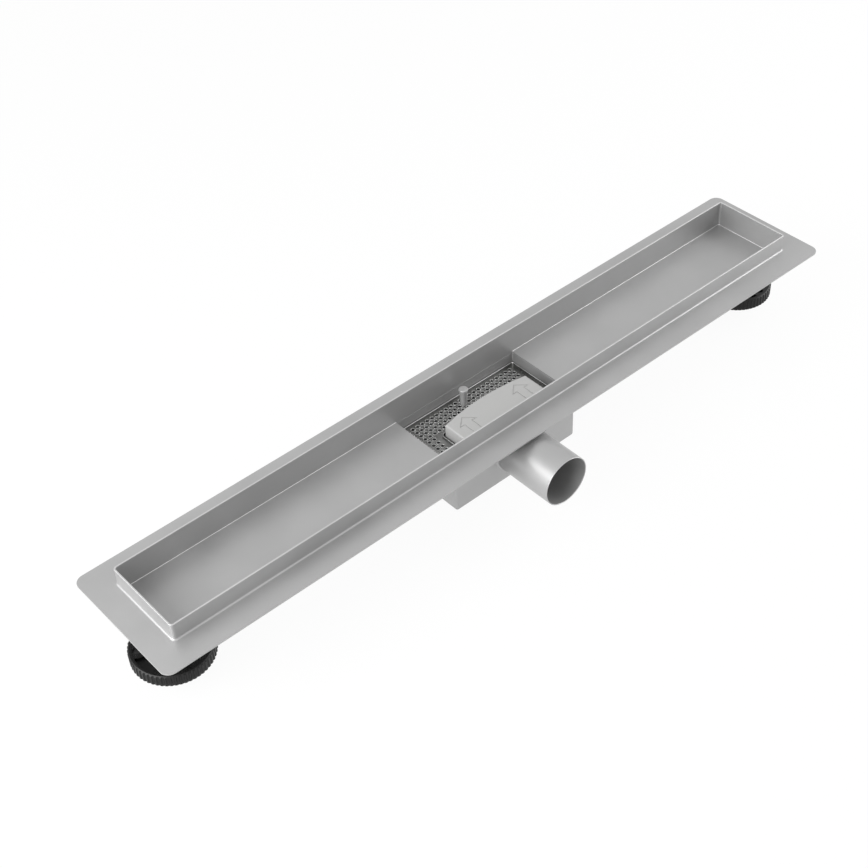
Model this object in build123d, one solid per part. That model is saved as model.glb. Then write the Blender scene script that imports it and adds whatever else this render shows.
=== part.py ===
from build123d import *
import math
import os

# Linear shower drain: a stainless trough with a raised rim and a tiling flange,
# a welded sump with a side outlet, a lift-out strainer and trap, and two screw feet.
# Modelled with X along the trough, the outlet towards -Y and z = 0 on the flange's
# upper face. It is moved at the end so that the origin is at the centre of its footprint.

# Sheet steel
sheet = 1.5
bend = 2.0
weld = 1.8
sheet_edge = 0.4

# Flange and rim
flange_length = 800.0
flange_width = 138.0
flange_corner = 9.0
flange_end_border = 25.5
flange_side_border = 26.5
rim_corner = 3.5
rim_height = 18.0

# Trough floor, which falls towards the sump
trough_depth = 9.6
floor_fall = 0.8

# Sump and side outlet
sump_length = 150.0
sump_depth = 64.5
sump_bend = 2.5
outlet_diameter = 50.0
outlet_wall = 1.0
outlet_reach = 107.0
outlet_drop = 31.0
port_diameter = 40.0

# Weir that keeps the water seal round the outlet port
weir_sheet = 1.2
weir_width = 66.0
weir_reach = 27.0
weir_corner = 10.0
weir_height = 28.0

# Trap bell over the weir
bell_half_length = 50.75
bell_back_room = 33.5
bell_sagitta = 5.9
bell_shift = 8.0
bell_top = 11.0
bell_wall = 2.5
bell_edge = 1.6
bell_leg_gap = 7.0
bell_leg_width = 6.0
seal_thickness = 2.0
seal_width = 3.5
arrow_spacing = 66.0
arrow_length = 24.0
arrow_head_length = 10.0
arrow_head_width = 22.0
arrow_shaft_width = 10.0
arrow_line = 0.9
arrow_depth = 0.5
arrow_inset = 8.5

# Strainer tray
tray_play = 0.6
tray_drop = 25.5
tray_sheet = 1.0
tray_lip = 3.4
tray_corner = 3.0
tray_edge = 0.4
cut_play = 2.2
cut_lip = 2.2
cut_corner = 4.0
hole_pitch = 5.9
hole_diameter = 3.8
hole_land = 1.0
ledge_width = 7.0
ledge_height = 10.0
ledge_end_gap = 6.0

# Lifting knob and its nut
knob_inset = 11.0
knob_height = 18.5
knob_head = 9.0
knob_head_height = 2.6
knob_crown = 0.6
knob_neck = 7.4
knob_base = 6.6
knob_thread = 4.0
knob_tail = 6.0
knob_nut_width = 7.0
knob_nut_height = 3.2

# Screw feet
foot_inset = 16.5
foot_diameter = 74.8
foot_height = 12.0
foot_rim = 3.6
foot_dish = 3.2
foot_bevel = 1.4
foot_edge = 0.6
foot_slope = 0.8
foot_flutes = 56
flute_radius = 1.5
flute_depth = 1.0
hub_diameter = 22.0
hub_height = 14.0
hub_floor = 2.0
fixing_circle = 58.0
fixing_hole = 8.0
fixing_boss = 18.0
fixing_count = 4
fixing_step = 0.5
left_foot_turn = 63.0
right_foot_turn = 8.0
thread_diameter = 10.0
thread_play = 0.05
thread_bevel = 1.0
stud_length = 48.0
socket_diameter = 16.0
socket_length = 30.0
lock_nut_width = 17.0
lock_nut_height = 6.0

# Sizes that follow from the ones above
rim_length = flange_length - 2 * flange_end_border
rim_width = flange_width - 2 * flange_side_border
inner_width = rim_width - 2 * sheet
ledge_length = inner_width - 2 * ledge_end_gap
front_wall = -inner_width / 2
sump_inner = sump_length - 2 * sheet
sump_top = -(trough_depth + floor_fall + sheet)
sump_floor = sheet - sump_depth
bell_front = front_wall + seal_thickness
bell_side = inner_width - seal_thickness - bell_back_room
bell_back = bell_front + bell_side
bell_foot = sump_floor + bell_leg_gap
tray_top = -tray_drop
tray_bottom = tray_top - tray_sheet
knob_y = inner_width / 2 - knob_inset
foot_x = rim_length / 2 - foot_inset
thread_radius = thread_diameter / 2


def floor_level(x):
    """Height of the trough floor's upper face at a distance from the middle."""
    flat = sump_length / 2
    share = min(1.0, max(0.0, (abs(x) - flat) / (rim_length / 2 - flat)))
    return -(trough_depth + floor_fall * (1 - share))


def trough_block(gap, top):
    """Solid under the trough's outline, set in by a gap on every side but the top."""
    half = rim_length / 2 - gap
    flat = sump_length / 2
    low_end = floor_level(half) - sheet + gap
    low_mid = floor_level(0) - sheet + gap
    side = Polyline((-half, top), (-half, low_end), (-flat, low_mid), (flat, low_mid),
                    (half, low_end), (half, top), close=True)
    width = rim_width - 2 * gap
    block = extrude(Plane.XZ * make_face(side), width / 2, both=True)
    upright = block.edges().filter_by(Axis.Z)
    block = fillet(upright, rim_corner - gap)
    lower = block.faces().filter_by(lambda f: f.normal_at().Z < -0.9).edges()
    lower = [e for e in lower if e.center().Z < top - 1 and not across(e)]
    return fillet(lower, bend - gap)


def across(edge):
    """True for a fold line that crosses the trough's floor from side to side."""
    spans = edge.bounding_box().size
    return spans.Y > spans.X and abs(edge.center().X) < rim_length / 2 - 2 * bend


def trough():
    """Folded sheet trough with its rim and a full-width opening over the sump."""
    shell = trough_block(0, rim_height) - trough_block(sheet, rim_height + 1)
    opening = Pos(0, 0, sump_top) * Box(sump_inner, inner_width, 4 * sheet)
    shell -= opening
    return fillet(shell.faces().sort_by(Axis.Z)[-1].edges(), sheet_edge)


def flange():
    """Flat tiling flange, welded round the trough with a hollow bead."""
    outline = RectangleRounded(rim_length, rim_width, rim_corner)
    plate = extrude(RectangleRounded(flange_length, flange_width, flange_corner), -sheet)
    blank = plate + extrude(outline, 3 * weld)
    inside = rim_length / 2 + 1
    seam = [e for e in blank.edges() if abs(e.bounding_box().min.Z) < 0.01
            and e.bounding_box().max.Z < 0.01
            and max(abs(e.center().X), abs(e.bounding_box().max.X)) < inside
            and abs(e.center().Y) < rim_width / 2 + 1]
    blank = fillet(seam, weld)
    return blank - Pos(0, 0, -2 * sheet) * extrude(outline, 6 * weld)


def sump():
    """Open box welded under the trough's opening, with a port to the outlet."""
    height = sump_depth + sump_top
    middle = (sump_top - sump_depth) / 2
    outer = Pos(0, 0, middle) * Box(sump_length, rim_width, height)
    folds = outer.edges().filter_by(Axis.Z) + outer.faces().sort_by(Axis.Z)[0].edges()
    outer = fillet(folds, sump_bend)
    box = outer - sump_cavity() - port()
    mouth = box.faces().sort_by(Axis.Z)[-1].inner_wires()[0].edges()
    return fillet(mouth, sheet_edge)


def sump_cavity():
    """Room inside the sump's folded walls, carried on above their top."""
    height = sump_depth + sump_top
    middle = (sump_top - sump_depth) / 2
    inner = Pos(0, 0, middle + sheet) * Box(sump_inner, inner_width, height)
    folds = inner.edges().filter_by(Axis.Z) + inner.faces().sort_by(Axis.Z)[0].edges()
    return fillet(folds, sump_bend - sheet)


def port():
    """Hole from the sump into the foot of the outlet pipe."""
    bottom = outlet_drop + outlet_diameter / 2 - outlet_wall
    return Pos(0, front_wall, port_diameter / 2 - bottom) * Rot(90, 0, 0) * Cylinder(
        port_diameter / 2, 4 * sheet)


def outlet_pipe():
    """Plain spigot with a weld bead at the sump's wall."""
    root = rim_width / 2
    radius = outlet_diameter / 2
    profile = Polyline((radius - outlet_wall, -root), (radius + weld, -root),
                       (radius, -root - weld), (radius, -outlet_reach),
                       (radius - outlet_wall, -outlet_reach), close=True)
    section = make_face(profile)
    mouth = section.vertices().sort_by(Axis.Y)[:2]
    pipe = revolve(fillet(mouth, sheet_edge), Axis.Y)
    return Pos(0, 0, -outlet_drop) * pipe


def weir():
    """Bent strip that stands round the port and holds back the water seal."""
    outer = weir_plan(0)
    inner = weir_plan(weir_sheet)
    return sump_cavity() & Pos(0, 0, sump_floor) * extrude(outer - inner, weir_height)


def weir_plan(gap):
    """Plan of the weir, open at the sump's front wall, set in by a gap."""
    half = weir_width / 2 - gap
    back = front_wall + weir_reach - gap
    plan = Polyline((-half, front_wall), (-half, back), (half, back), (half, front_wall),
                    close=True)
    face = make_face(plan)
    return fillet([v for v in face.vertices() if v.Y > back - 1], weir_corner - gap)


def bell_plan(gap, front):
    """Plan of the trap bell: straight ends and a bowed back, set out by a gap."""
    half = bell_half_length + gap
    back = bell_back + gap
    bow = ThreePointArc((half, back), (0, back + bell_sagitta), (-half, back))
    rest = Polyline((-half, back), (-half, front), (half, front), (half, back))
    return Pos(bell_shift, 0) * make_face([bow, rest])


def bell():
    """Moulded trap bell, open below and towards the outlet, on three short legs."""
    height = -bell_top - bell_foot
    body = Pos(0, 0, bell_foot) * extrude(bell_plan(0, bell_front), height)
    top = body.faces().sort_by(Axis.Z)[-1]
    body = fillet([e for e in top.edges() if e.center().Y > bell_front + 1], bell_edge)
    hollow = extrude(bell_plan(-bell_wall, bell_front - 1), height - bell_wall)
    body -= Pos(0, 0, bell_foot) * hollow
    for x, y in bell_leg_places():
        leg = Box(bell_leg_width, bell_leg_width, bell_leg_gap + 1)
        ring = extrude(bell_plan(0, bell_front) - bell_plan(-bell_wall, bell_front - 1),
                       bell_leg_gap + 1)
        body += Pos(0, 0, sump_floor) * (ring & Pos(x, y, (bell_leg_gap + 1) / 2) * leg)
    for side in (-1, 1):
        place = Pos(bell_shift + side * arrow_spacing / 2, 0, -bell_top)
        body -= place * extrude(arrow_line_face(), -arrow_depth)
    return body


def bell_leg_places():
    """Where the bell's legs stand: one at each end and one behind."""
    end = bell_half_length - bell_wall / 2
    middle = bell_back - bell_side / 2
    return [(bell_shift - end, middle), (bell_shift + end, middle),
            (bell_shift, bell_back + bell_sagitta - bell_wall / 2)]


def arrow_line_face():
    """Outline of one of the two arrows sunk in the bell's top."""
    tip = bell_back - arrow_inset + bell_sagitta
    neck = tip - arrow_head_length
    head = arrow_head_width / 2
    shaft = arrow_shaft_width / 2
    tail = tip - arrow_length
    arrow = make_face(Polyline((0, tip), (head, neck), (shaft, neck), (shaft, tail),
                               (-shaft, tail), (-shaft, neck), (-head, neck), close=True))
    return arrow - offset(arrow, -arrow_line, kind=Kind.INTERSECTION)


def trap_seal():
    """Rubber strip between the bell's front edges and the sump's wall."""
    height = -bell_top - bell_foot
    outer = Pos(0, height / 2) * Rectangle(2 * bell_half_length, height)
    inner = Pos(0, (height - seal_width) / 2) * Rectangle(
        2 * (bell_half_length - seal_width), height - seal_width)
    strip = extrude(Plane.XZ * (outer - inner), seal_thickness)
    return Pos(bell_shift, bell_front, bell_foot) * strip


def strainer():
    """Perforated tray with an upturned lip, cut out round the trap bell."""
    length = sump_inner - 2 * tray_play
    width = inner_width - 2 * tray_play
    plan = RectangleRounded(length, width, tray_corner)
    well = RectangleRounded(length - 2 * tray_sheet, width - 2 * tray_sheet,
                            tray_corner - tray_sheet)
    cut = cut_plan(0)
    collar = cut_plan(tray_sheet)
    holes = [Pos(x, y) * Circle(hole_diameter / 2) for x, y in hole_places(length, width)]
    stem = Pos(0, knob_y) * Circle(knob_thread / 2)
    plate = Pos(0, 0, tray_bottom) * extrude(plan - cut - holes - stem, tray_sheet)
    lip = Pos(0, 0, tray_top) * extrude(plan - well - cut, tray_lip)
    lip = fillet(lip.faces().sort_by(Axis.Z)[-1].edges(), tray_edge)
    ring = Pos(0, 0, tray_top) * extrude((collar - cut) & plan, cut_lip)
    ring = fillet(ring.faces().sort_by(Axis.Z)[-1].edges(), tray_edge)
    return plate + lip + ring


def cut_plan(gap):
    """Plan of the tray's cut-out round the bell, with round corners, set out by a gap."""
    plan = bell_plan(cut_play + gap, -rim_width)
    return fillet(plan.vertices().sort_by(Axis.Y)[-2:], cut_corner + gap)


def hole_places(length, width):
    """Square grid of holes that keeps clear of the lip, the cut-out and the knob."""
    border = tray_sheet + hole_land + hole_diameter / 2
    columns = int((length / 2 - border) / hole_pitch)
    rows = int((width / 2 - border) / hole_pitch)
    places = []
    for i in range(-columns, columns + 1):
        for j in range(-rows, rows + 1):
            x, y = i * hole_pitch, j * hole_pitch
            if clear_of_bell(x, y, border + cut_play) and clear_of_knob(x, y):
                places.append((x, y))
    return places


def clear_of_bell(x, y, margin):
    """True where a hole's centre lies outside the cut-out and its collar."""
    along = (x - bell_shift) / bell_half_length
    back = bell_back + bell_sagitta * (1 - along * along)
    return abs(x - bell_shift) > bell_half_length + margin or y > back + margin


def clear_of_knob(x, y):
    """True where a hole keeps off the knob's seat."""
    reach = (knob_nut_width + hole_diameter) / 2
    return math.hypot(x, y - knob_y) > reach


def ledge(side):
    """Folded angle on the sump's end wall that carries one end of the tray."""
    wall = sump_inner / 2
    angle = Polyline((wall, tray_bottom), (wall, tray_bottom - ledge_height),
                     (wall - sheet, tray_bottom - ledge_height),
                     (wall - sheet, tray_bottom - sheet),
                     (wall - ledge_width, tray_bottom - sheet),
                     (wall - ledge_width, tray_bottom), close=True)
    strip = extrude(Plane.XZ * make_face(angle), ledge_length / 2, both=True)
    return strip if side > 0 else mirror(strip, Plane.YZ)


def knob():
    """Turned lifting knob with a threaded tail through the tray."""
    head = knob_head / 2
    neck = knob_neck / 2
    base = knob_base / 2
    tail = knob_thread / 2
    under_head = knob_height - knob_head_height
    crown = knob_crown
    profile = [Line((0, knob_height), (head - crown, knob_height)),
               ThreePointArc((head - crown, knob_height),
                             (head - 0.3 * crown, knob_height - 0.3 * crown),
                             (head, knob_height - crown)),
               Polyline((head, knob_height - crown), (head, under_head),
                        (neck, under_head - crown), (base, 0), (tail, 0),
                        (tail, -knob_tail), (0, -knob_tail), (0, knob_height))]
    return Pos(0, knob_y, tray_top) * revolve(Plane.XZ * make_face(profile), Axis.Z)


def knob_nut():
    """Nut that holds the knob from below."""
    across_corners = knob_nut_width / math.sqrt(3)
    plan = RegularPolygon(across_corners, 6) - Circle(knob_thread / 2)
    return Pos(0, knob_y, tray_bottom - knob_nut_height) * extrude(plan, knob_nut_height)


def foot_disc():
    """Moulded hand wheel: fluted rim, dished top, hub and fixing holes."""
    radius = foot_diameter / 2
    dish = foot_height - foot_dish
    hub = hub_diameter / 2
    bore = thread_radius
    inside = radius - foot_rim
    profile = Polyline((0, 0), (radius - foot_edge, 0), (radius, foot_edge),
                       (radius, foot_height - foot_bevel), (radius - foot_bevel, foot_height),
                       (inside, foot_height), (inside - foot_slope, dish), (hub + foot_slope, dish),
                       (hub, hub_height), (bore, hub_height), (bore, hub_floor),
                       (0, hub_floor), close=True)
    disc = revolve(Plane.XZ * make_face(profile), Axis.Z)
    circle = PolarLocations(fixing_circle / 2, fixing_count)
    limit = Circle(inside + foot_rim / 2)
    for place in circle:
        boss = (place * Circle(fixing_boss / 2)) & limit
        disc += Pos(0, 0, dish - fixing_step) * extrude(boss, foot_dish)
        disc -= place * Cylinder(fixing_hole / 2, 3 * foot_height)
    groove = Cylinder(flute_radius, 3 * foot_height)
    grooves = PolarLocations(radius + flute_radius - flute_depth, foot_flutes)
    disc -= [place * groove for place in grooves]
    return Pos(0, 0, -sump_depth) * disc


def foot_stud():
    """Threaded stud moulded in the hand wheel."""
    base = hub_floor - sump_depth
    stud = Pos(0, 0, base) * extrude(Circle(thread_radius - thread_play), stud_length)
    return chamfer(stud.edges().sort_by(Axis.Z)[-1], thread_bevel)


def socket_top():
    """Underside of the trough's floor where the socket is welded on."""
    return floor_level(foot_x - socket_diameter / 2) - sheet


def foot_socket():
    """Threaded socket under the trough, closed by the trough's floor."""
    plan = Circle(socket_diameter / 2) - Circle(thread_radius)
    return Pos(0, 0, socket_top() - socket_length) * extrude(plan, socket_length)


def lock_nut():
    """Hexagon nut that locks the stud against its socket."""
    plan = RegularPolygon(lock_nut_width / math.sqrt(3), 6) - Circle(thread_radius)
    bottom = socket_top() - socket_length - lock_nut_height
    nut = Pos(0, 0, bottom) * extrude(plan, lock_nut_height)
    cone = Pos(0, 0, bottom + lock_nut_height / 2) * Cylinder(
        lock_nut_width / math.sqrt(3), lock_nut_height)
    ends = cone.edges().filter_by(GeomType.CIRCLE)
    return nut & chamfer(ends, thread_bevel)


pieces = {
    "trough": trough(),
    "flange": flange(),
    "sump": sump(),
    "outlet_pipe": outlet_pipe(),
    "trap_weir": weir(),
    "trap_bell": bell(),
    "trap_seal": trap_seal(),
    "strainer_tray": strainer(),
    "left_tray_ledge": ledge(-1),
    "right_tray_ledge": ledge(1),
    "lifting_knob": knob(),
    "knob_nut": knob_nut(),
}
for side, sign, turn in (("left", -1, left_foot_turn), ("right", 1, right_foot_turn)):
    place = Pos(sign * foot_x, 0, 0) * Rot(0, 0, turn)
    pieces[side + "_foot_disc"] = place * foot_disc()
    pieces[side + "_foot_stud"] = place * foot_stud()
    pieces[side + "_foot_socket"] = place * foot_socket()
    pieces[side + "_lock_nut"] = place * lock_nut()

os.makedirs("parts", exist_ok=True)
to_origin = Pos(0, (outlet_reach - flange_width / 2) / 2, sump_depth)
for name, piece in pieces.items():
    export_step(to_origin * piece, os.path.join("parts", name + ".step"))
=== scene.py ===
import math

import bmesh
import bpy
from mathutils import Matrix, Vector


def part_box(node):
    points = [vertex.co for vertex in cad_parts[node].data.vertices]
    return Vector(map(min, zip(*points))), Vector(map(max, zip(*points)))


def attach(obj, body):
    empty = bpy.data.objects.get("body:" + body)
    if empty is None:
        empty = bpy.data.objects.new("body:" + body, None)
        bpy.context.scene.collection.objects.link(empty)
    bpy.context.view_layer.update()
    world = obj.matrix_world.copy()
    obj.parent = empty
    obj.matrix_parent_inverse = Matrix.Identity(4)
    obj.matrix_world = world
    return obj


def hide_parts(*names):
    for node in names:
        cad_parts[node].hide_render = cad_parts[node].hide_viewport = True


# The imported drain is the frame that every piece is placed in
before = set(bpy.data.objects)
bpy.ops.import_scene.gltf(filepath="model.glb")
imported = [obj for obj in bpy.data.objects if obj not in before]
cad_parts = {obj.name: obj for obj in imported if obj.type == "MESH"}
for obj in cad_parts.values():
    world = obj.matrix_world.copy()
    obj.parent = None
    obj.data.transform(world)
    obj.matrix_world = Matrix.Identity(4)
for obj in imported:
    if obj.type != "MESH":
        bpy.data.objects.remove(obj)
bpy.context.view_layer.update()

bl_info = {
    "name": "Linear Shower Drain",
    "version": (1, 0, 0),
    "blender": (4, 5, 0),
    "location": "View3D > Sidebar > Drain",
    "description": "Finishes a linear shower drain: satin steel, strainer, trap and screw feet",
    "category": "Object",
}

MM = 0.001
# Values of a noise pattern between which its effect runs from least to most
NOISE_LOW = 0.3
NOISE_HIGH = 0.7
# Levels of finer noise in the clouds and in the grain
CLOUD_DETAIL = 3.0
GRAIN_DETAIL = 2.0
# Slopes over which a wall passes into a bend, and a bend into a floor
WALL_TO_BEND = (0.12, 0.35)
BEND_TO_FLOOR = (0.93, 0.99)
# The Mix node's sockets for colours, which share their names with those for numbers
COLOUR_A = 6
COLOUR_B = 7
COLOUR_MIXED = 2
# Widths of a thread's crest and of each of its flanks, as shares of its pitch
CREST_SHARE = 1 / 8
FLANK_SHARE = 1 / 4
# Height from which the tray is probed for holes, and how far from its top its sheet may lie
PROBE_HEIGHT = 1 * MM
PROBE_SLACK = 0.1 * MM
FLOOR_SIDES = 96


def linear(code):
    """Linear RGB of an sRGB hex colour."""
    channels = [int(code[i:i + 2], 16) / 255 for i in (0, 2, 4)]
    return tuple(c / 12.92 if c <= 0.04045 else ((c + 0.055) / 1.055) ** 2.4 for c in channels)


class DrainSteel(bpy.types.PropertyGroup):
    """Finish of the stainless pieces."""

    sheet_colour: bpy.props.FloatVectorProperty(
        name="Sheet colour", description="Reflected colour of the pickled sheet",
        subtype="COLOR", size=3, min=0, max=1, default=linear("ACACAC"))
    sheet_roughness: bpy.props.FloatProperty(
        name="Sheet roughness", description="Softness of reflections in the sheet",
        subtype="FACTOR", min=0, max=1, default=0.42)
    sheet_metallic: bpy.props.FloatProperty(
        name="Sheet metallic", description="Share of mirror-like reflection in the matt sheet",
        subtype="FACTOR", min=0, max=1, default=0.6)
    # The next three settings paint highlights: a lighter colour in the bends, along the rim's top
    # edge and on the tray's lip
    bend_colour: bpy.props.FloatVectorProperty(
        name="Bend highlight colour", description="Colour of the highlight painted into bends",
        subtype="COLOR", size=3, min=0, max=1, default=linear("DCDCDC"))
    rim_share: bpy.props.FloatProperty(
        name="Rim highlight share", description="Strength of the highlight painted on the rim's top edge, from none to a bend's",
        subtype="FACTOR", min=0, max=1, default=0.38)
    edge_depth: bpy.props.FloatProperty(
        name="Edge highlight depth", description="Depth of the highlight painted along a top edge",
        unit="LENGTH", min=0.0001, default=0.6 * MM)
    grain_width: bpy.props.FloatProperty(
        name="Grain width", description="Width of one rolling line, drawn coarser than the real one",
        unit="LENGTH", min=0.0001, default=0.9 * MM)
    grain_length: bpy.props.FloatProperty(
        name="Grain length", description="Length of one rolling line",
        unit="LENGTH", min=0.001, default=28 * MM)
    grain_relief: bpy.props.FloatProperty(
        name="Grain relief", description="Depth of the grain of the metal pieces",
        unit="LENGTH", min=0, default=0.006 * MM)
    cloud_size: bpy.props.FloatProperty(
        name="Cloud size", description="Width of the faint clouds that pickling leaves",
        unit="LENGTH", min=0.001, default=55 * MM)
    cloud_tone: bpy.props.FloatProperty(
        name="Cloud tone", description="How far the clouds lighten or darken a metal piece",
        subtype="FACTOR", min=0, max=1, default=0.045)
    cloud_gloss: bpy.props.FloatProperty(
        name="Cloud gloss", description="How far the clouds soften or sharpen its reflections",
        subtype="FACTOR", min=0, max=1, default=0.04)


class DrainStrainer(bpy.types.PropertyGroup):
    """Finish of the strainer tray and its knob, and shape of the collars round its holes."""

    tray_colour: bpy.props.FloatVectorProperty(
        name="Tray colour", description="Reflected colour of the perforated sheet",
        subtype="COLOR", size=3, min=0, max=1, default=linear("8C8C8B"))
    # Painted highlight: the collars are coloured lighter than the tray they are rolled from
    collar_colour: bpy.props.FloatVectorProperty(
        name="Collar highlight colour", description="Colour of the collars, lighter than the tray as a painted highlight",
        subtype="COLOR", size=3, min=0, max=1, default=linear("A8A8A7"))
    tray_roughness: bpy.props.FloatProperty(
        name="Tray roughness", description="Softness of reflections in the perforated sheet",
        subtype="FACTOR", min=0, max=1, default=0.3)
    knob_colour: bpy.props.FloatVectorProperty(
        name="Knob colour", description="Reflected colour of the turned knob",
        subtype="COLOR", size=3, min=0, max=1, default=linear("BEBEBE"))
    knob_roughness: bpy.props.FloatProperty(
        name="Knob roughness", description="Softness of reflections in the turned knob",
        subtype="FACTOR", min=0, max=1, default=0.45)
    turning_pitch: bpy.props.FloatProperty(
        name="Turning pitch", description="Distance between the rings that turning leaves",
        unit="LENGTH", min=0.0001, default=0.4 * MM)
    tray_thickness: bpy.props.FloatProperty(
        name="Tray thickness", description="Thickness of the perforated sheet",
        unit="LENGTH", min=0.0001, default=1.0 * MM)
    hole_pitch: bpy.props.FloatProperty(
        name="Hole pitch", description="Distance between two holes of the tray's square grid",
        unit="LENGTH", min=0.001, default=5.9 * MM)
    hole_radius: bpy.props.FloatProperty(
        name="Hole radius", description="Radius of one hole of the tray",
        unit="LENGTH", min=0.0005, default=1.9 * MM)
    mouth_radius: bpy.props.FloatProperty(
        name="Mouth radius", description="Radius of the opening that a rolled collar leaves",
        unit="LENGTH", min=0.0005, default=1.45 * MM)
    collar_width: bpy.props.FloatProperty(
        name="Collar width", description="Reach of a rolled collar beyond its hole",
        unit="LENGTH", min=0.0001, default=0.95 * MM)
    collar_height: bpy.props.FloatProperty(
        name="Collar height", description="Rise of a rolled collar above the tray",
        unit="LENGTH", min=0.0001, default=0.6 * MM)
    collar_root: bpy.props.FloatProperty(
        name="Collar root", description="Depth to which a rolled collar lines its hole",
        unit="LENGTH", min=0.0001, default=0.5 * MM)
    collar_facets: bpy.props.IntProperty(
        name="Collar facets", description="Faces round one rolled collar", min=8, default=16)


class DrainTrap(bpy.types.PropertyGroup):
    """Finish of the odour trap."""

    bell_colour: bpy.props.FloatVectorProperty(
        name="Bell colour", description="Colour of the moulded trap bell",
        subtype="COLOR", size=3, min=0, max=1, default=linear("B5B5B4"))
    bell_roughness: bpy.props.FloatProperty(
        name="Bell roughness", description="Softness of the bell's gloss",
        subtype="FACTOR", min=0, max=1, default=0.55)
    seal_colour: bpy.props.FloatVectorProperty(
        name="Seal colour", description="Colour of the bell's rubber seal",
        subtype="COLOR", size=3, min=0, max=1, default=linear("1B1B1B"))
    seal_roughness: bpy.props.FloatProperty(
        name="Seal roughness", description="Softness of the seal's gloss",
        subtype="FACTOR", min=0, max=1, default=0.6)
    mould_grain: bpy.props.FloatProperty(
        name="Mould grain", description="Width of one grain of the spark-eroded mould",
        unit="LENGTH", min=0.0001, default=0.5 * MM)
    mould_relief: bpy.props.FloatProperty(
        name="Mould relief", description="Depth of the mould's grain",
        unit="LENGTH", min=0, default=0.02 * MM)


class DrainFeet(bpy.types.PropertyGroup):
    """Finish of the screw feet, and shape of their threads."""

    wheel_colour: bpy.props.FloatVectorProperty(
        name="Wheel colour", description="Colour of the moulded hand wheels",
        subtype="COLOR", size=3, min=0, max=1, default=linear("090909"))
    wheel_roughness: bpy.props.FloatProperty(
        name="Wheel roughness", description="Softness of the wheels' gloss",
        subtype="FACTOR", min=0, max=1, default=0.38)
    wheel_specular: bpy.props.FloatProperty(
        name="Wheel specular", description="Strength of the wheels' gloss",
        subtype="FACTOR", min=0, max=1, default=0.3)
    wheel_grain: bpy.props.FloatProperty(
        name="Wheel grain", description="Width of one grain of the wheels' surface",
        unit="LENGTH", min=0.0001, default=0.6 * MM)
    wheel_relief: bpy.props.FloatProperty(
        name="Wheel relief", description="Depth of the grain of the wheels' surface",
        unit="LENGTH", min=0, default=0.015 * MM)
    zinc_colour: bpy.props.FloatVectorProperty(
        name="Zinc colour", description="Reflected colour of the plated studs, sockets and nuts",
        subtype="COLOR", size=3, min=0, max=1, default=linear("B4B4B0"))
    zinc_roughness: bpy.props.FloatProperty(
        name="Zinc roughness", description="Softness of reflections in the plating",
        subtype="FACTOR", min=0, max=1, default=0.32)
    zinc_grain: bpy.props.FloatProperty(
        name="Zinc grain", description="Width of one grain of the plating, drawn coarser than real",
        unit="LENGTH", min=0.0001, default=0.8 * MM)
    zinc_cloud: bpy.props.FloatProperty(
        name="Zinc cloud", description="Width of the faint clouds in the plating",
        unit="LENGTH", min=0.001, default=20 * MM)
    thread_pitch: bpy.props.FloatProperty(
        name="Thread pitch", description="Rise of the stud's thread in one turn",
        unit="LENGTH", min=0.0005, default=1.5 * MM)
    thread_depth: bpy.props.FloatProperty(
        name="Thread depth", description="Depth of the stud's thread",
        unit="LENGTH", min=0.0001, default=0.92 * MM)
    thread_facets: bpy.props.IntProperty(
        name="Thread facets", description="Faces round one turn of the thread", min=12, default=40)
    thread_rows: bpy.props.IntProperty(
        name="Thread rows", description="Faces along one turn of the thread", min=4, default=8)


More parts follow.
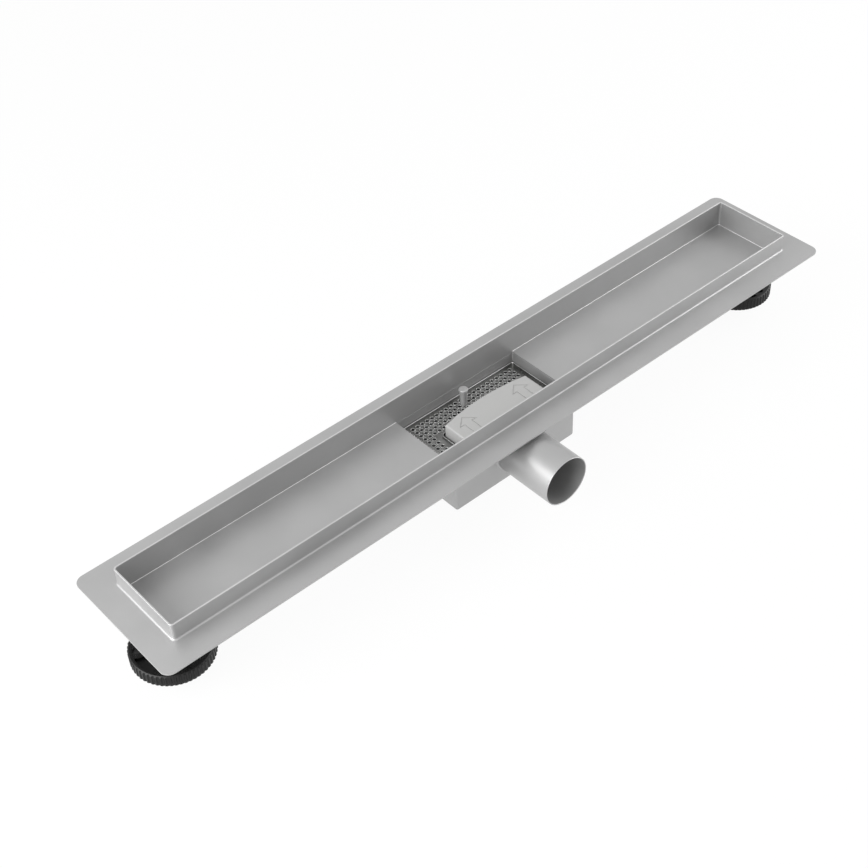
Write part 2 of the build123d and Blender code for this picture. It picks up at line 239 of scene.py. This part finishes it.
class DrainStage(bpy.types.PropertyGroup):
    """Camera, floor and light."""

    azimuth: bpy.props.FloatProperty(
        name="Azimuth", description="Direction from which the camera looks",
        subtype="ANGLE", default=math.radians(-39.259))
    elevation: bpy.props.FloatProperty(
        name="Elevation", description="Height of the camera above the horizon",
        subtype="ANGLE", default=math.radians(42.72))
    roll: bpy.props.FloatProperty(
        name="Roll", description="Tilt of the camera about its own axis",
        subtype="ANGLE", default=math.radians(-3.076))
    distance: bpy.props.FloatProperty(
        name="Distance", description="Distance from the camera to the point it looks at",
        unit="LENGTH", default=1376.6 * MM)
    aim_along: bpy.props.FloatProperty(
        name="Aim along", description="Place along the trough that the camera looks at",
        unit="LENGTH", default=-66.95 * MM)
    aim_across: bpy.props.FloatProperty(
        name="Aim across", description="Place across the trough that the camera looks at",
        unit="LENGTH", default=-5.18 * MM)
    lens: bpy.props.FloatProperty(
        name="Lens", description="Focal length of the camera in millimetres",
        unit="CAMERA", default=63.513)
    floor_radius: bpy.props.FloatProperty(
        name="Floor radius", description="Radius of the white floor", unit="LENGTH", default=6.0)
    floor_drop: bpy.props.FloatProperty(
        name="Floor drop", description="Depth of the floor below the resting feet, a little more "
        "than they can be screwed out", unit="LENGTH", min=0, default=20.2 * MM)
    floor_white: bpy.props.FloatProperty(
        name="Floor white", description="Share of the light on the floor that it sends back",
        subtype="FACTOR", min=0, max=1, default=0.9)
    shadow: bpy.props.FloatProperty(
        name="Shadow", description="Share of the floor's white that shadows can darken",
        subtype="FACTOR", min=0, max=1, default=0.06)
    fill: bpy.props.FloatProperty(
        name="Fill", description="Light that the white surround gives to matt surfaces",
        subtype="FACTOR", min=0, max=1, default=0.6)
    lamp_aim: bpy.props.FloatVectorProperty(
        name="Lamp aim", description="Place that both lamps point at",
        subtype="TRANSLATION", unit="LENGTH", size=3, default=(0, 0, 0.05))
    left_lamp: bpy.props.FloatProperty(
        name="Left lamp", description="Power of the soft lamp beyond the left end",
        unit="POWER", min=0, default=34.0)
    left_lamp_size: bpy.props.FloatProperty(
        name="Left lamp size", description="Side of the square lamp beyond the left end",
        unit="LENGTH", min=0.01, default=1.4)
    left_lamp_place: bpy.props.FloatVectorProperty(
        name="Left lamp place", description="Place of the lamp beyond the left end",
        subtype="TRANSLATION", unit="LENGTH", size=3, default=(-1.5, 0.1, 0.65))
    right_lamp: bpy.props.FloatProperty(
        name="Right lamp", description="Power of the soft lamp beyond the right end",
        unit="POWER", min=0, default=13.5)
    right_lamp_size: bpy.props.FloatProperty(
        name="Right lamp size", description="Side of the square lamp beyond the right end",
        unit="LENGTH", min=0.01, default=1.2)
    right_lamp_place: bpy.props.FloatVectorProperty(
        name="Right lamp place", description="Place of the lamp beyond the right end",
        subtype="TRANSLATION", unit="LENGTH", size=3, default=(1.35, -0.55, 0.55))


def add(tree, kind, inputs=None, **settings):
    """Adds a node, gives it its settings, and sets or links its inputs."""
    node = tree.nodes.new(kind)
    for name, value in settings.items():
        setattr(node, name, value)
    for name, value in (inputs or {}).items():
        if isinstance(value, bpy.types.NodeSocket):
            tree.links.new(value, node.inputs[name])
        else:
            node.inputs[name].default_value = value
    return node


def new_material(name):
    """An empty material and its node tree."""
    material = bpy.data.materials.new(name)
    material.use_nodes = True
    material.node_tree.nodes.clear()
    return material, material.node_tree


def surface(tree, shader):
    """Links a shader to the material's surface."""
    add(tree, "ShaderNodeOutputMaterial", {"Surface": shader.outputs[0]})


def noise(tree, size, detail):
    """Noise in a piece's own frame, with one grain of the given size along each axis."""
    where = add(tree, "ShaderNodeTexCoord")
    grains = add(tree, "ShaderNodeMapping", {
        "Vector": where.outputs["Object"], "Scale": tuple(1 / s for s in size)})
    pattern = add(tree, "ShaderNodeTexNoise", {
        "Vector": grains.outputs[0], "Scale": 1.0, "Detail": detail})
    return pattern.outputs["Fac"]


def around(tree, pattern, middle, spread):
    """A noise pattern turned into values on both sides of a middle one."""
    values = add(tree, "ShaderNodeMapRange", {
        "Value": pattern, "From Min": NOISE_LOW, "From Max": NOISE_HIGH,
        "To Min": middle - spread, "To Max": middle + spread})
    return values.outputs[0]


def bright_edges(tree, top, depth, share):
    """Mask of painted highlights: 1 in a folded piece's bends, the given share on its top edge, else
    0.
    """
    where = add(tree, "ShaderNodeTexCoord")
    spot = add(tree, "ShaderNodeSeparateXYZ", {"Vector": where.outputs["Object"]})
    edge = add(tree, "ShaderNodeMapRange", {
        "Value": spot.outputs["Z"], "From Min": top - depth, "From Max": top - depth / 2})
    face = add(tree, "ShaderNodeNewGeometry")
    lean = add(tree, "ShaderNodeSeparateXYZ", {"Vector": face.outputs["Normal"]})
    slope = add(tree, "ShaderNodeMath", {0: lean.outputs["Z"]}, operation="ABSOLUTE")
    # A wall's slope is 0 and a floor's is 1, and a bend runs from one to the other
    off_wall = add(tree, "ShaderNodeMapRange", {
        "Value": slope.outputs[0],
        "From Min": WALL_TO_BEND[0], "From Max": WALL_TO_BEND[1]})
    off_floor = add(tree, "ShaderNodeMapRange", {
        "Value": slope.outputs[0],
        "From Min": BEND_TO_FLOOR[1], "From Max": BEND_TO_FLOOR[0]})
    bend = add(tree, "ShaderNodeMath", {0: off_wall.outputs[0], 1: off_floor.outputs[0]},
               operation="MULTIPLY")
    bright = add(tree, "ShaderNodeMix", {
        "Factor": edge.outputs[0], "A": bend.outputs[0], "B": share})
    return bright.outputs[0]


def grained_metal(name, colour, roughness, grain, cloud, metallic=1.0, edges=None):
    """Metal with a fine grain, and with faint clouds in its tone and gloss."""
    look = bpy.context.scene.drain_steel
    material, tree = new_material(name)
    base = (*colour, 1.0)
    # Optional painted highlights lighten the bends and a top edge
    if edges:
        bright, *where = edges
        paint = add(tree, "ShaderNodeMix", {
            "Factor": bright_edges(tree, *where), COLOUR_A: base, COLOUR_B: (*bright, 1.0)},
            data_type="RGBA")
        base = paint.outputs[COLOUR_MIXED]
    clouds = noise(tree, (cloud, cloud, cloud), CLOUD_DETAIL)
    shade = add(tree, "ShaderNodeHueSaturation", {
        "Value": around(tree, clouds, 1.0, look.cloud_tone), "Color": base})
    bump = add(tree, "ShaderNodeBump", {
        "Height": noise(tree, grain, GRAIN_DETAIL), "Strength": 0.5,
        "Distance": look.grain_relief})
    metal = add(tree, "ShaderNodeBsdfPrincipled", {
        "Base Color": shade.outputs[0], "Metallic": metallic,
        "Roughness": around(tree, clouds, roughness, look.cloud_gloss),
        "Normal": bump.outputs[0]})
    surface(tree, metal)
    return material


def pickled_steel(name, grain, edges=None):
    """Stainless steel of the trough and its welded pieces."""
    # Austenitic steel, cold rolled, welded and pickled: an even pale grey, nearly matt.
    # The grain is drawn far coarser than its real width of about 0.02 mm.
    look = bpy.context.scene.drain_steel
    return grained_metal(name, look.sheet_colour, look.sheet_roughness, grain, look.cloud_size,
                         look.sheet_metallic, edges)


def moulded(name, colour, roughness, grain, relief, specular=0.5):
    """Plastic or rubber from a mould whose fine even grain breaks up the gloss."""
    material, tree = new_material(name)
    grains = noise(tree, (grain, grain, grain), GRAIN_DETAIL)
    bump = add(tree, "ShaderNodeBump", {
        "Height": grains, "Strength": 0.6, "Distance": relief})
    skin = add(tree, "ShaderNodeBsdfPrincipled", {
        "Base Color": (*colour, 1.0), "Roughness": roughness, "IOR": 1.5,
        "Specular IOR Level": specular, "Normal": bump.outputs[0]})
    surface(tree, skin)
    return material


def finish_node(names, material):
    """Gives pieces of the frame one material all over."""
    for name in names:
        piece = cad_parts[name]
        if not piece.material_slots:
            piece.data.materials.append(material)
        for slot in piece.material_slots:
            slot.material = material


def skin_rings(mesh, x, y, rings):
    """Skins over rings round an upright axis, each given as its height and its radii."""
    loops = []
    for height, radii in rings:
        loop = []
        for step, radius in enumerate(radii):
            angle = 2 * math.pi * step / len(radii)
            loop.append(mesh.verts.new((x + radius * math.cos(angle),
                                        y + radius * math.sin(angle), height)))
        loops.append(loop)
    for below, above in zip(loops, loops[1:]):
        for step in range(len(below)):
            after = (step + 1) % len(below)
            mesh.faces.new((below[step], below[after], above[after], above[step]))
    return loops


def new_piece(name, mesh, material):
    """Turns a finished mesh into an object of one material."""
    data = bpy.data.meshes.new(name)
    mesh.to_mesh(data)
    mesh.free()
    data.shade_smooth()
    data.materials.append(material)
    piece = bpy.data.objects.new(name, data)
    bpy.context.scene.collection.objects.link(piece)
    return piece


class DRAIN_OT_sheet(bpy.types.Operator):
    """Finishes the trough, flange, sump and the folded pieces inside it"""

    bl_idname = "drain.sheet"
    bl_label = "Sheet Steel"

    def execute(self, context):
        look = context.scene.drain_steel
        grain = (look.grain_length, look.grain_width, look.grain_width)
        finish_node(["flange", "sump", "trap_weir", "left_tray_ledge", "right_tray_ledge"],
                    pickled_steel("pickled stainless sheet", grain))
        # Painted highlights lighten the trough's bends and the top edge of its rim
        rim = (look.bend_colour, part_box("trough")[1].z, look.edge_depth, look.rim_share)
        finish_node(["trough"], pickled_steel("folded stainless sheet", grain, rim))
        return {"FINISHED"}


class DRAIN_OT_outlet(bpy.types.Operator):
    """Finishes the outlet spigot"""

    bl_idname = "drain.outlet"
    bl_label = "Outlet Spigot"

    def execute(self, context):
        look = context.scene.drain_steel
        # Tube rolled from the same steel and brushed as it turns, so its grain runs round it
        grain = (look.grain_length, look.grain_width, look.grain_length)
        finish_node(["outlet_pipe"], pickled_steel("pickled stainless tube", grain))
        return {"FINISHED"}


def sheet_at(tray, x, y, top):
    """True where the tray's sheet lies under a point of the plan."""
    start = Vector((x, y, top + PROBE_HEIGHT))
    hit, spot, _, _ = tray.ray_cast(start, Vector((0, 0, -1)))
    return hit and abs(spot.z - top) < PROBE_SLACK


def punched_holes(tray, top, look):
    """Centres of the grid's holes: open in the middle, flat sheet all round."""
    low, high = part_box("strainer_tray")
    centre = (low + high) / 2
    columns = int((high.x - low.x) / 2 / look.hole_pitch)
    rows = int((high.y - low.y) / 2 / look.hole_pitch)
    reach = look.hole_radius + look.collar_width / 2
    sides = [(reach, 0), (0, reach), (-reach, 0), (0, -reach)]
    places = []
    for i in range(-columns, columns + 1):
        for j in range(-rows, rows + 1):
            x = centre.x + i * look.hole_pitch
            y = centre.y + j * look.hole_pitch
            held = all(sheet_at(tray, x + dx, y + dy, top) for dx, dy in sides)
            if held and not sheet_at(tray, x, y, top):
                places.append((x, y))
    if not places:
        raise RuntimeError("the strainer tray has no holes on its grid")
    return places


def rolled_collars(look, material):
    """Raised collars that rolling leaves round the tray's holes."""
    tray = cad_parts["strainer_tray"]
    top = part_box("strainer_tray")[0].z + look.tray_thickness
    foot = look.hole_radius + look.collar_width
    mouth = look.mouth_radius
    # Each collar is a half round from its foot, sunk a little, over to its mouth and down
    sink = 0.02 * MM
    arc = 8
    profile = [(-sink, foot)]
    for step in range(1, arc + 1):
        turn = math.pi * step / arc
        profile.append((look.collar_height * math.sin(turn),
                        (mouth + foot) / 2 + (foot - mouth) / 2 * math.cos(turn)))
    profile.append((-look.collar_root, mouth))
    rings = [(top + height, [radius] * look.collar_facets) for height, radius in profile]
    mesh = bmesh.new()
    for x, y in punched_holes(tray, top, look):
        skin_rings(mesh, x, y, rings)
    return new_piece("strainer_collars", mesh, material)


class DRAIN_OT_strainer(bpy.types.Operator):
    """Finishes the perforated tray, its knob and nut"""

    bl_idname = "drain.strainer"
    bl_label = "Strainer Tray"

    def execute(self, context):
        look = context.scene.drain_strainer
        steel = context.scene.drain_steel
        grain = (steel.grain_length, steel.grain_width, steel.grain_width)
        # Punched stainless sheet, left as rolled: darker and glossier than the pickled trough.
        # Its bends and its lip get the same painted highlight as the trough's bends.
        lip = (steel.bend_colour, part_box("strainer_tray")[1].z, steel.edge_depth, 1.0)
        tray = grained_metal("perforated stainless sheet", look.tray_colour,
                             look.tray_roughness, grain, steel.cloud_size, edges=lip)
        # A hard roller turns up each hole's rim; the collars' lighter colour is a painted highlight
        rolled = grained_metal("rolled stainless collars", look.collar_colour,
                               look.tray_roughness, grain, steel.cloud_size)
        # Stainless bar, turned: the tool leaves fine rings, drawn coarser than the real ones
        rings = (steel.grain_length, steel.grain_length, look.turning_pitch)
        knob = grained_metal("turned stainless bar", look.knob_colour, look.knob_roughness,
                             rings, steel.cloud_size, steel.sheet_metallic)
        finish_node(["strainer_tray"], tray)
        finish_node(["lifting_knob", "knob_nut"], knob)
        collars = rolled_collars(look, rolled)
        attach(collars, "drain")
        return {"FINISHED"}


class DRAIN_OT_trap(bpy.types.Operator):
    """Finishes the trap bell and its seal"""

    bl_idname = "drain.trap"
    bl_label = "Odour Trap"

    def execute(self, context):
        look = context.scene.drain_trap
        # ABS from a spark-eroded mould, which leaves it even and nearly matt
        bell = moulded("moulded grey ABS", look.bell_colour, look.bell_roughness,
                       look.mould_grain, look.mould_relief)
        # EPDM rubber, filled with carbon black and moulded: near black with a dull gloss
        seal = moulded("moulded EPDM rubber", look.seal_colour, look.seal_roughness,
                       look.mould_grain, look.mould_relief)
        finish_node(["trap_bell"], bell)
        finish_node(["trap_seal"], seal)
        return {"FINISHED"}


def thread_radius(height, turn, crest, length, look):
    """Radius of a stud with a V thread at a height and a share of a turn."""
    depth = look.thread_depth
    off_crest = abs((height / look.thread_pitch - turn) % 1 - 1 / 2)
    ridge = (CREST_SHARE / 2 + FLANK_SHARE - off_crest) / FLANK_SHARE
    cut = crest - depth * (1 - min(1.0, max(0.0, ridge)))
    # Both ends are chamfered down to the thread's root
    chamfer = crest - depth + min(depth, height, length - height)
    return min(cut, chamfer)


def threaded_stud(name, node, look, material):
    """Stud of the same size as its node, with the thread cut along it."""
    low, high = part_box(node)
    centre = (low + high) / 2
    crest = (high.x - low.x) / 2
    length = high.z - low.z
    rows = round(length / look.thread_pitch * look.thread_rows)
    rings = []
    for row in range(rows + 1):
        height = length * row / rows
        radii = [thread_radius(height, step / look.thread_facets, crest, length, look)
                 for step in range(look.thread_facets)]
        rings.append((low.z + height, radii))
    mesh = bmesh.new()
    loops = skin_rings(mesh, centre.x, centre.y, rings)
    mesh.faces.new(reversed(loops[0]))
    mesh.faces.new(loops[-1])
    return new_piece(name, mesh, material)


class DRAIN_OT_feet(bpy.types.Operator):
    """Finishes the hand wheels and cuts the threads of their studs"""

    bl_idname = "drain.feet"
    bl_label = "Screw Feet"

    def execute(self, context):
        look = context.scene.drain_feet
        # Polyamide with carbon black, moulded: deep black with a soft gloss
        wheel = moulded("moulded black polyamide", look.wheel_colour, look.wheel_roughness,
                        look.wheel_grain, look.wheel_relief, look.wheel_specular)
        # Carbon steel with a thin coat of zinc: a pale, slightly milky gloss, the same all round
        grain = (look.zinc_grain, look.zinc_grain, look.zinc_grain)
        zinc = grained_metal("zinc plated steel", look.zinc_colour, look.zinc_roughness, grain,
                             look.zinc_cloud)
        for side in ("left", "right"):
            finish_node([side + "_foot_disc"], wheel)
            finish_node([side + "_foot_socket", side + "_lock_nut"], zinc)
            stud = threaded_stud(side + "_stud_thread", side + "_foot_stud", look, zinc)
            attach(stud, side + "_foot")
            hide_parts(side + "_foot_stud")
        return {"FINISHED"}


def seen_directly(tree):
    """1 for rays from the eye, a mirror or a window, 0 for the light that falls on things."""
    path = add(tree, "ShaderNodeLightPath")
    first = add(tree, "ShaderNodeMath", {
        0: path.outputs["Is Camera Ray"], 1: path.outputs["Is Glossy Ray"]},
        operation="MAXIMUM")
    seen = add(tree, "ShaderNodeMath", {
        0: first.outputs[0], 1: path.outputs["Is Transmission Ray"]}, operation="MAXIMUM")
    return seen.outputs[0]


def white_surround(fill):
    """White world, seen at full strength and lighting the drain softly."""
    world = bpy.data.worlds.new("white surround")
    world.use_nodes = True
    tree = world.node_tree
    tree.nodes.clear()
    strength = add(tree, "ShaderNodeMapRange", {
        "Value": seen_directly(tree), "To Min": fill, "To Max": 1.0})
    white = add(tree, "ShaderNodeBackground", {
        "Color": (1.0, 1.0, 1.0, 1.0), "Strength": strength.outputs[0]})
    add(tree, "ShaderNodeOutputWorld", {"Surface": white.outputs[0]})
    bpy.context.scene.world = world


def floor_paint(white, shadow):
    """White floor paint that shows as white and keeps a faint shadow."""
    material, tree = new_material("white floor paint")
    matt = add(tree, "ShaderNodeBsdfDiffuse", {"Color": (white, white, white, 1.0)})
    glow = add(tree, "ShaderNodeEmission", {"Strength": 1.0})
    share = add(tree, "ShaderNodeMath", {0: seen_directly(tree), 1: 1 - shadow},
                operation="MULTIPLY")
    mix = add(tree, "ShaderNodeMixShader", {
        0: share.outputs[0], 1: matt.outputs[0], 2: glow.outputs[0]})
    surface(tree, mix)
    return material


def studio_floor(look):
    """Round white floor, low enough for the feet at the end of their travel."""
    mesh = bmesh.new()
    bmesh.ops.create_circle(mesh, cap_ends=True, segments=FLOOR_SIDES,
                            radius=look.floor_radius)
    ground = new_piece("studio_floor", mesh, floor_paint(look.floor_white, look.shadow))
    ground.location.z = -look.floor_drop


def soft_lamp(name, place, aim, size, watts):
    """Square area lamp that points at a place on the drain."""
    data = bpy.data.lights.new(name, "AREA")
    data.shape = "SQUARE"
    data.size = size
    data.energy = watts
    lamp = bpy.data.objects.new(name, data)
    lamp.location = place
    towards = Vector(aim) - Vector(place)
    lamp.rotation_mode = "QUATERNION"
    lamp.rotation_quaternion = towards.to_track_quat("-Z", "Y")
    bpy.context.scene.collection.objects.link(lamp)


def studio_camera(look):
    """Camera at the photo's viewing angle."""
    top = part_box("flange")[1].z
    low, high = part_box("trough")
    aim = Vector((look.aim_along, (low.y + high.y) / 2 + look.aim_across, top))
    a, e = look.azimuth, look.elevation
    back = Vector((math.sin(a) * math.cos(e), -math.cos(a) * math.cos(e), math.sin(e)))
    level = (-back).to_track_quat("-Z", "Y").to_matrix()
    turned = level @ Matrix.Rotation(look.roll, 3, "Z")
    data = bpy.data.cameras.new("studio_camera")
    data.lens = look.lens
    camera = bpy.data.objects.new("studio_camera", data)
    camera.matrix_world = Matrix.Translation(aim + back * look.distance) @ turned.to_4x4()
    bpy.context.scene.collection.objects.link(camera)
    bpy.context.scene.camera = camera


class DRAIN_OT_stage(bpy.types.Operator):
    """Builds the white floor, the soft light and the camera"""

    bl_idname = "drain.stage"
    bl_label = "Stage"

    def execute(self, context):
        look = context.scene.drain_stage
        white_surround(look.fill)
        studio_floor(look)
        soft_lamp("left lamp", look.left_lamp_place, look.lamp_aim, look.left_lamp_size,
                  look.left_lamp)
        soft_lamp("right lamp", look.right_lamp_place, look.lamp_aim, look.right_lamp_size,
                  look.right_lamp)
        studio_camera(look)
        context.scene.view_settings.view_transform = "Standard"
        return {"FINISHED"}


class DRAIN_PT_panel(bpy.types.Panel):
    """Lists the drain's steps and settings."""

    bl_idname = "DRAIN_PT_panel"
    bl_label = "Linear Shower Drain"
    bl_space_type = "VIEW_3D"
    bl_region_type = "UI"
    bl_category = "Drain"

    def draw(self, context):
        for operator, group in steps:
            box = self.layout.box()
            box.operator(operator.bl_idname)
            settings = getattr(context.scene, group)
            for name in type(settings).__annotations__:
                box.prop(settings, name)


groups = {
    "drain_steel": DrainSteel,
    "drain_strainer": DrainStrainer,
    "drain_trap": DrainTrap,
    "drain_feet": DrainFeet,
    "drain_stage": DrainStage,
}
steps = [
    (DRAIN_OT_stage, "drain_stage"),
    (DRAIN_OT_sheet, "drain_steel"),
    (DRAIN_OT_outlet, "drain_steel"),
    (DRAIN_OT_strainer, "drain_strainer"),
    (DRAIN_OT_trap, "drain_trap"),
    (DRAIN_OT_feet, "drain_feet"),
]
classes = [*groups.values(), *[operator for operator, _ in steps], DRAIN_PT_panel]


def register():
    """Makes the settings, steps and panel known to the program."""
    for cls in classes:
        bpy.utils.register_class(cls)
    for name, cls in groups.items():
        setattr(bpy.types.Scene, name, bpy.props.PointerProperty(type=cls))


def unregister():
    """Takes the settings, steps and panel out again."""
    for name in groups:
        delattr(bpy.types.Scene, name)
    for cls in reversed(classes):
        bpy.utils.unregister_class(cls)


def main():
    """Builds the whole scene."""
    register()
    bpy.ops.drain.stage()
    bpy.ops.drain.sheet()
    bpy.ops.drain.outlet()
    bpy.ops.drain.strainer()
    bpy.ops.drain.trap()
    bpy.ops.drain.feet()


if __name__ == "__main__":
    main()
